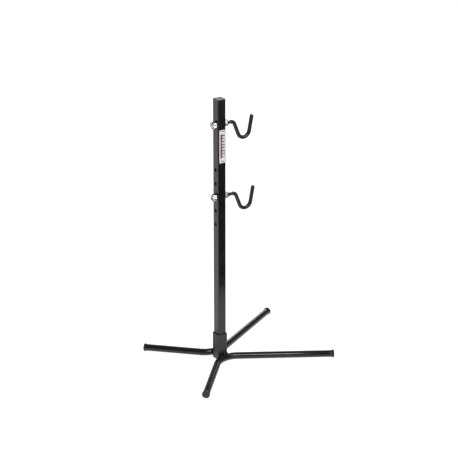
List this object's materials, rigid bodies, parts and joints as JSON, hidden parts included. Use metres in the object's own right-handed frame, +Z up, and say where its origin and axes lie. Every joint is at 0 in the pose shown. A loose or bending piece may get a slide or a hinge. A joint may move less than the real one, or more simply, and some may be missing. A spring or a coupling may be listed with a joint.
{
  "type": "bike repair stand",
  "caption": "Floor stand with splayed tube legs, a square post in a socket and soft-sleeved S hooks that lift a bicycle by its rear stays; hand nuts clamp the hooks.",
  "frame": {"origin": "on the floor under the axis of the post", "axes": "+Z up along the post, +Y from the post towards the hooks, +X to the side that carries the scale plate"},
  "size_m": [0.2852, 0.3636, 0.63],
  "materials": {
    "base_paint": "glossy black powder coat on welded steel",
    "post_paint": "satin black powder coat on square steel tube",
    "rod_paint": "black coated steel rod",
    "foot_plastic": "moulded black plastic, fine texture",
    "cap_plastic": "moulded black plastic",
    "scale_print": "printed white film with a red block and plain graduation",
    "washer_plating": "zinc plated, satin",
    "nut_plating": "zinc plated, satin",
    "hand_nut_plating": "bright nickel plated casting",
    "ring_rubber": "black rubber",
    "sleeve_rubber": "smooth soft black vinyl"
  },
  "bodies": {
    "base": {"base_socket": "base_paint", "post_rest_plate": "base_paint", "leg_tube_right": "base_paint", "leg_tube_left": "base_paint", "base_welds": "base_paint", "foot_cap_outer_right": "foot_plastic", "foot_cap_outer_left": "foot_plastic", "foot_cap_inner_right": "foot_plastic", "foot_cap_inner_left": "foot_plastic"},
    "post": {"post_tube": "post_paint", "post_cap": "cap_plastic", "scale_plate": "scale_print"},
    "upper_lock": {"upper_lock_washer": "washer_plating", "upper_lock_nut": "nut_plating", "upper_stop_ring": "ring_rubber"},
    "upper_hook": {"upper_hook_rod": "rod_paint", "upper_hook_sleeve": "sleeve_rubber"},
    "upper_clamp": {"upper_clamp_washer": "washer_plating"},
    "upper_knob": {"upper_hand_nut": "hand_nut_plating"},
    "lower_lock": {"lower_lock_washer": "washer_plating", "lower_lock_nut": "nut_plating", "lower_stop_ring": "ring_rubber"},
    "lower_hook": {"lower_hook_rod": "rod_paint", "lower_hook_sleeve": "sleeve_rubber"},
    "lower_clamp": {"lower_clamp_washer": "washer_plating"},
    "lower_knob": {"lower_hand_nut": "hand_nut_plating"}
  },
  "joints": [
    {"name": "post_lift", "type": "slide", "parent": "base", "child": "post", "axis": [0, 0, 1], "range_m": [0, 0.057]},
    {"name": "upper_hook_swivel", "type": "hinge", "parent": "post", "child": "upper_lock", "pos_m": [0, 0, 0.572], "axis": [0, 1, 0], "continuous": true},
    {"name": "upper_hook_reach", "type": "slide", "parent": "upper_lock", "child": "upper_hook", "axis": [0, 1, 0], "range_m": [-0.003, 0.005]},
    {"name": "upper_nut_travel", "type": "slide", "parent": "post", "child": "upper_clamp", "axis": [0, -1, 0], "range_m": [0, 0.00375]},
    {"name": "upper_nut_turn", "type": "hinge", "parent": "upper_clamp", "child": "upper_knob", "pos_m": [0, 0, 0.572], "axis": [0, -1, 0], "range_deg": [0, 1080]},
    {"name": "lower_hook_swivel", "type": "hinge", "parent": "post", "child": "lower_lock", "pos_m": [0, 0, 0.405], "axis": [0, 1, 0], "continuous": true},
    {"name": "lower_hook_reach", "type": "slide", "parent": "lower_lock", "child": "lower_hook", "axis": [0, 1, 0], "range_m": [-0.0075, 0.0005]},
    {"name": "lower_nut_travel", "type": "slide", "parent": "post", "child": "lower_clamp", "axis": [0, -1, 0], "range_m": [0, 0.00375]},
    {"name": "lower_nut_turn", "type": "hinge", "parent": "lower_clamp", "child": "lower_knob", "pos_m": [0, 0, 0.405], "axis": [0, -1, 0], "range_deg": [0, 1080]}
  ],
  "couplings": [
    {"joint": "upper_nut_travel", "follows": "upper_nut_turn", "m_per_rad": 0.00019894},
    {"joint": "lower_nut_travel", "follows": "lower_nut_turn", "m_per_rad": 0.00019894}
  ]
}
